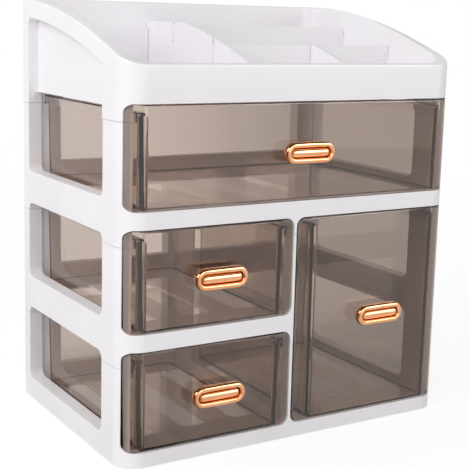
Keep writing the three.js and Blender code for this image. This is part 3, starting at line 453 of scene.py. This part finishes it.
def by_direction(tree, facing, towards, near, far, level=None):
    """A level that changes from near's value to far's while the view turns towards a side,
    times another level where there is one. Near and far are each a cosine and a value."""
    flat = add(tree, "ShaderNodeVectorMath", {1: (1, 1, 0)}, {0: facing}, operation="MULTIPLY")
    flat = add(tree, "ShaderNodeVectorMath", links={0: flat.outputs[0]}, operation="NORMALIZE")
    turn = add(tree, "ShaderNodeVectorMath", {1: towards}, {0: flat.outputs[0]},
               operation="DOT_PRODUCT").outputs["Value"]
    value = add(tree, "ShaderNodeMapRange", {"From Min": near[0], "From Max": far[0],
                                             "To Min": near[1], "To Max": far[1]},
                {"Value": turn}, interpolation_type="SMOOTHSTEP").outputs[0]
    if level is None:
        return value
    return add(tree, "ShaderNodeMath", links={0: level, 1: value}, operation="MULTIPLY").outputs[0]


def light_level(tree, facing):
    """The backdrop's light falls off from the key lamp's side to the far one."""
    level = by_direction(tree, facing, AWAY_FROM_KEY, near=(0, 1), far=(0.27, 0.57))
    return by_direction(tree, facing, AWAY_FROM_KEY, near=(0.25, 1), far=(0.9, 0.7), level=level)


def through_walls(tree, facing, kind, shade=None):
    """The backdrop as it shows through the drawers. What lights their inside comes mostly
    from the left and the back, and is as cool as the white mouldings look in there."""
    inside = by_direction(tree, facing, LEFT_REAR, near=(-0.35, 0.8), far=(0.55, 3.4))
    depth = add(tree, "ShaderNodeLightPath").outputs["Diffuse Depth"]
    scattered = add(tree, "ShaderNodeMath", {1: 1}, {0: depth}, operation="MINIMUM").outputs[0]
    level = add(tree, "ShaderNodeMix",
                links={0: scattered, 2: light_level(tree, facing), 3: inside},
                data_type="FLOAT").outputs[0]
    cool = add(tree, "ShaderNodeMix", {6: WHITE, 7: INSIDE_TINT}, {0: scattered},
               data_type="RGBA").outputs[2]
    if shade:
        level = add(tree, "ShaderNodeMath", links={0: level, 1: shade},
                    operation="MULTIPLY").outputs[0]
    return add(tree, kind, links={"Color": cool, "Strength": level}).outputs[0]


def mirrored_level(tree, facing, most=1):
    """What mirrors see: a white room, grey on the left and behind, and dark overhead and on
    the camera's side. Its brightest level is the one given as most."""
    level = by_direction(tree, facing, LEFT, near=(0.5, 1), far=(0.95, 0.35))
    level = by_direction(tree, facing, CAMERA_SIDE, near=(0.65, 1), far=(1, 0.15), level=level)
    level = by_direction(tree, facing, BEHIND, near=(0.6, 1), far=(0.95, 0.45), level=level)
    height = add(tree, "ShaderNodeSeparateXYZ", links={0: facing}).outputs["Z"]
    overhead = add(tree, "ShaderNodeMapRange",
                   {"From Min": 0.5, "From Max": 0.68, "To Min": most, "To Max": 0.06},
                   {"Value": height}, interpolation_type="SMOOTHSTEP").outputs[0]
    return add(tree, "ShaderNodeMath", links={0: level, 1: overhead},
               operation="MULTIPLY").outputs[0]


def by_ray(tree, light, seen, mirrored, through):
    """The light that falls on the object, and what the camera, mirrors and clear walls show
    of the studio. Rays through a wall count as glossy too, so mirrors get what is left."""
    path = add(tree, "ShaderNodeLightPath").outputs
    walls = path["Is Transmission Ray"]
    mirrors = add(tree, "ShaderNodeMath", links={0: path["Is Glossy Ray"], 1: walls},
                  operation="SUBTRACT", use_clamp=True).outputs[0]
    mix = light
    for ray, shown in ((path["Is Camera Ray"], seen), (mirrors, mirrored), (walls, through)):
        mix = add(tree, "ShaderNodeMixShader", links={0: ray, 1: mix, 2: shown}).outputs[0]
    return mix


def floor_finish():
    material, tree, where = new_material("studio_floor")
    light = add(tree, "ShaderNodeBsdfDiffuse", {"Color": colour("#E6E6E6")})
    # The camera sees paper that glows and still takes the shadow, and that fades into the
    # surround between 0.6 and 1.6 m from the object
    away = add(tree, "ShaderNodeVectorMath", links={0: where}, operation="LENGTH")
    fade = add(tree, "ShaderNodeMapRange", {"From Min": 0.6, "From Max": 1.6},
               {"Value": away.outputs["Value"]}, interpolation_type="SMOOTHSTEP")
    paper = add(tree, "ShaderNodeBsdfDiffuse", {"Color": (0.22, 0.22, 0.22, 1)})
    glow = add(tree, "ShaderNodeEmission", {"Color": WHITE, "Strength": 0.82})
    near = add(tree, "ShaderNodeAddShader", links={0: paper.outputs[0], 1: glow.outputs[0]})
    far = add(tree, "ShaderNodeEmission", {"Color": WHITE, "Strength": 1})
    seen = add(tree, "ShaderNodeMixShader",
               links={0: fade.outputs[0], 1: near.outputs[0], 2: far.outputs[0]})
    # Mirrors see it from the height of the pulls
    facing = add(tree, "ShaderNodeVectorMath", {1: (0, 0, PULL_HEIGHT)}, {0: where},
                 operation="SUBTRACT").outputs[0]
    mirrored = add(tree, "ShaderNodeEmission", {"Color": WHITE},
                   {"Strength": mirrored_level(tree, facing, most=0.82)})
    # Through the drawers it shows with the shade under and around the object
    shade = add(tree, "ShaderNodeValToRGB", links={"Fac": away.outputs["Value"]})
    stops = shade.color_ramp.elements
    stops[0].position, stops[0].color = 0.12, (0.32, 0.32, 0.32, 1)
    stops[1].position, stops[1].color = 0.5, WHITE
    stops.new(0.22).color = (0.9, 0.9, 0.9, 1)
    through = through_walls(tree, where, "ShaderNodeEmission", shade.outputs["Color"])
    mix = by_ray(tree, light.outputs[0], seen.outputs[0], mirrored.outputs[0], through)
    add(tree, "ShaderNodeOutputMaterial", links={"Surface": mix})
    return material


def studio_floor():
    bm = bmesh.new()
    bmesh.ops.create_grid(bm, x_segments=1, y_segments=1, size=FLOOR_HALF_WIDTH)
    mesh = bpy.data.meshes.new("studio_floor")
    bm.to_mesh(mesh)
    bm.free()
    mesh.materials.append(floor_finish())
    floor = bpy.data.objects.new("studio_floor", mesh)
    bpy.context.scene.collection.objects.link(floor)


def studio_surround():
    """White all round for the camera, and its light falls off to the right."""
    world = bpy.data.worlds.new("studio")
    bpy.context.scene.world = world
    world.use_nodes = True
    tree = world.node_tree
    tree.nodes.clear()
    facing = add(tree, "ShaderNodeTexCoord").outputs["Generated"]
    ambient = by_direction(tree, facing, AWAY_FROM_KEY, near=(-0.05, 0.82), far=(0.6, 0.4))
    light = add(tree, "ShaderNodeBackground", {"Color": WHITE}, {"Strength": ambient})
    seen = add(tree, "ShaderNodeBackground", {"Color": WHITE, "Strength": 1})
    mirrored = add(tree, "ShaderNodeBackground", {"Color": WHITE},
                   {"Strength": mirrored_level(tree, facing)})
    through = through_walls(tree, facing, "ShaderNodeBackground")
    mix = by_ray(tree, light.outputs[0], seen.outputs[0], mirrored.outputs[0], through)
    add(tree, "ShaderNodeOutputWorld", links={"Surface": mix})


def soft_box(name, place, aim, size, watts):
    lamp = bpy.data.lights.new(name, "AREA")
    lamp.size = size
    lamp.energy = watts
    box = bpy.data.objects.new(name, lamp)
    bpy.context.scene.collection.objects.link(box)
    box.location = place
    box.rotation_euler = (Vector(aim) - Vector(place)).to_track_quat("-Z", "Y").to_euler()
    return box


studio_floor()
studio_surround()
soft_box("key_light", place=(-1.5, -0.35, 1.1), aim=(0, 0, 0.15), size=0.9, watts=11.3)
soft_box("fill_light", place=(0.1, -1.7, 0.7), aim=(0, 0, 0.15), size=0.9, watts=5.3)
# The pulls mirror this one in their upper halves, and nothing matt gets light from it
glint = soft_box("glint_light", place=(0.93, -1.15, 0.72), aim=(0.03, -0.1, PULL_HEIGHT),
                 size=0.8, watts=6.5)
glint.visible_diffuse = False

bpy.context.view_layer.update()
